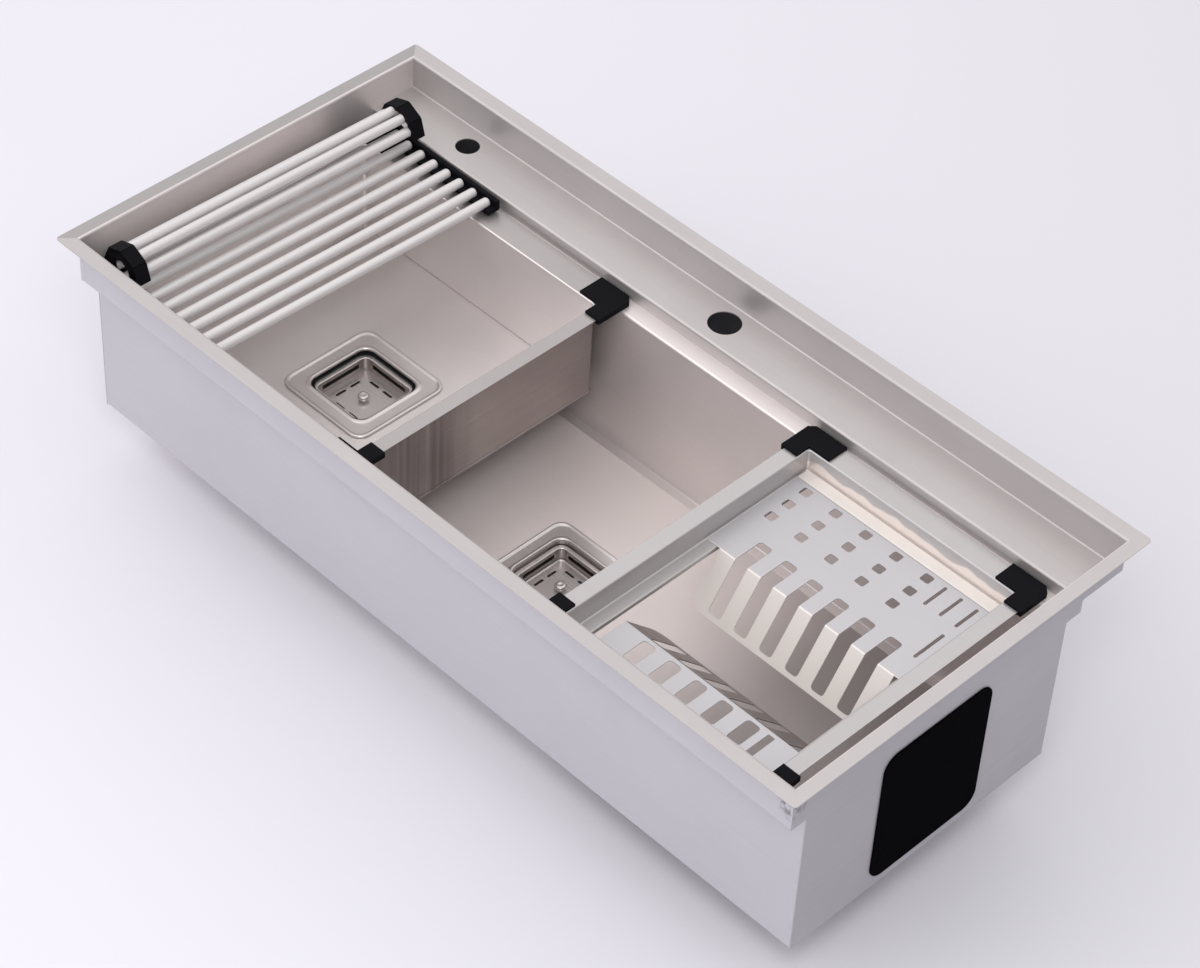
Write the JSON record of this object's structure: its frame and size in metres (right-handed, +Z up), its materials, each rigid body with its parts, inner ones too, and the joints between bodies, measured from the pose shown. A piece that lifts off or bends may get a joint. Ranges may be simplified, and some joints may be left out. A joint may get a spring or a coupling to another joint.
{
  "type": "inset kitchen sink",
  "caption": "Inset steel sink with stepped bowl, tap deck, sliding rinse bowl, sliding dish tray with folded plate combs and a roll-up drying rack.",
  "frame": {"origin": "centre of the worktop cut-out, on the worktop's top face, which the rim's underside rests on", "axes": "+X along the sink to the right seen from the user, +Y towards the tap deck, +Z up"},
  "size_m": [1, 0.48, 0.3028],
  "materials": {
    "bowl_steel": "satin brushed",
    "rinse_steel": "satin brushed",
    "tray_steel": "satin brushed",
    "sheet_steel": "fine satin",
    "waste_steel": "polished",
    "tube_steel": "polished",
    "pad_rubber": "matt",
    "strip_rubber": "matt",
    "damper": "matt",
    "waste_plastic": "matt"
  },
  "bodies": {
    "sink": {"front_wall": "bowl_steel", "rear_wall": "bowl_steel", "tap_deck": "bowl_steel", "bowl_floor": "bowl_steel", "end_plate_left": "bowl_steel", "end_plate_right": "bowl_steel", "tap_hole_sleeve": "waste_plastic", "side_hole_sleeve": "waste_plastic", "sound_pad_left": "damper", "sound_pad_right": "damper", "floor_pad_left": "damper", "floor_pad_right": "damper", "waste_body": "waste_steel", "waste_seal": "pad_rubber", "waste_clamp": "waste_plastic", "waste_tail": "waste_plastic"},
    "main_strainer": {"strainer_basket": "waste_steel", "strainer_knob": "waste_steel"},
    "rinse": {"rinse_bowl": "rinse_steel", "rinse_waste_body": "waste_steel", "rinse_waste_seal": "pad_rubber", "rinse_waste_clamp": "waste_plastic", "rinse_waste_tail": "waste_plastic", "rinse_pad_front_left": "pad_rubber", "rinse_pad_front_right": "pad_rubber", "rinse_pad_rear_left": "pad_rubber", "rinse_pad_rear_right": "pad_rubber"},
    "rinse_strainer": {"rinse_strainer_basket": "waste_steel", "rinse_strainer_knob": "waste_steel"},
    "tray": {"dish_tray": "tray_steel", "tray_pad_front_left": "pad_rubber", "tray_pad_front_right": "pad_rubber", "tray_pad_rear_left": "pad_rubber", "tray_pad_rear_right": "pad_rubber"},
    "rear_sheet": {"rear_dish_sheet": "sheet_steel"},
    "front_sheet": {"front_dish_sheet": "sheet_steel"},
    "rack": {"rack_tube_1": "tube_steel", "rack_tube_2": "tube_steel", "rack_tube_3": "tube_steel", "rack_tube_4": "tube_steel", "rack_tube_5": "tube_steel", "rack_tube_6": "tube_steel", "rack_tube_7": "tube_steel", "rack_strip_rear": "strip_rubber", "rack_strip_front": "strip_rubber"},
    "link_1": {"rolled_tube_1": "tube_steel", "rolled_link_1": "strip_rubber"},
    "link_2": {"rolled_tube_2": "tube_steel", "rolled_link_2": "strip_rubber"},
    "link_3": {"rolled_tube_3": "tube_steel", "rolled_link_3": "strip_rubber"},
    "link_4": {"rolled_tube_4": "tube_steel", "rolled_link_4": "strip_rubber"},
    "link_5": {"rolled_tube_5": "tube_steel", "rolled_link_5": "strip_rubber"},
    "link_6": {"rolled_tube_6": "tube_steel", "rolled_link_6": "strip_rubber"}
  },
  "joints": [
    {"name": "rinse_slide", "type": "slide", "parent": "sink", "child": "rinse", "axis": [1, 0, 0], "range_m": [0, 0.1]},
    {"name": "tray_slide", "type": "slide", "parent": "sink", "child": "tray", "axis": [-1, 0, 0], "range_m": [0, 0.12]},
    {"name": "main_strainer_lift", "type": "slide", "parent": "sink", "child": "main_strainer", "axis": [0, 0, 1], "range_m": [0, 0.055]},
    {"name": "rinse_strainer_lift", "type": "slide", "parent": "rinse", "child": "rinse_strainer", "axis": [0, 0, 1], "range_m": [0, 0.055]},
    {"name": "rear_sheet_lift", "type": "slide", "parent": "tray", "child": "rear_sheet", "axis": [0, 0, 1], "range_m": [0, 0.06]},
    {"name": "front_sheet_lift", "type": "slide", "parent": "tray", "child": "front_sheet", "axis": [0, 0, 1], "range_m": [0, 0.06]},
    {"name": "rack_pull", "type": "slide", "parent": "rinse", "child": "rack", "axis": [1, 0, 0], "range_m": [0, 0.1]},
    {"name": "curl_1", "type": "hinge", "parent": "rack", "child": "link_1", "pos_m": [-0.43108, -0.02445, -0.0444], "axis": [0.0262, 0.9997, 0], "range_deg": [-23, 0]},
    {"name": "curl_2", "type": "hinge", "parent": "link_1", "child": "link_2", "pos_m": [-0.44971, -0.02397, -0.03649], "axis": [0.0262, 0.9997, 0], "range_deg": [-46, 0]},
    {"name": "curl_3", "type": "hinge", "parent": "link_2", "child": "link_3", "pos_m": [-0.45697, -0.02378, -0.01758], "axis": [0.0262, 0.9997, 0], "range_deg": [-46, 0]},
    {"name": "curl_4", "type": "hinge", "parent": "link_3", "child": "link_4", "pos_m": [-0.44841, -0.024, 0.00077], "axis": [0.0262, 0.9997, 0], "range_deg": [-46, 0]},
    {"name": "curl_5", "type": "hinge", "parent": "link_4", "child": "link_5", "pos_m": [-0.42927, -0.0245, 0.00736], "axis": [0.0262, 0.9997, 0], "range_deg": [-46, 0]},
    {"name": "curl_6", "type": "hinge", "parent": "link_5", "child": "link_6", "pos_m": [-0.41124, -0.02497, -0.00183], "axis": [0.0262, 0.9997, 0], "range_deg": [-46, 0]}
  ],
  "couplings": [
    {"joint": "curl_1", "follows": "rack_pull", "rad_per_m": -4.01},
    {"joint": "curl_2", "follows": "rack_pull", "rad_per_m": -8.02},
    {"joint": "curl_3", "follows": "rack_pull", "rad_per_m": -8.02},
    {"joint": "curl_4", "follows": "rack_pull", "rad_per_m": -8.02},
    {"joint": "curl_5", "follows": "rack_pull", "rad_per_m": -8.02},
    {"joint": "curl_6", "follows": "rack_pull", "rad_per_m": -8.02}
  ]
}
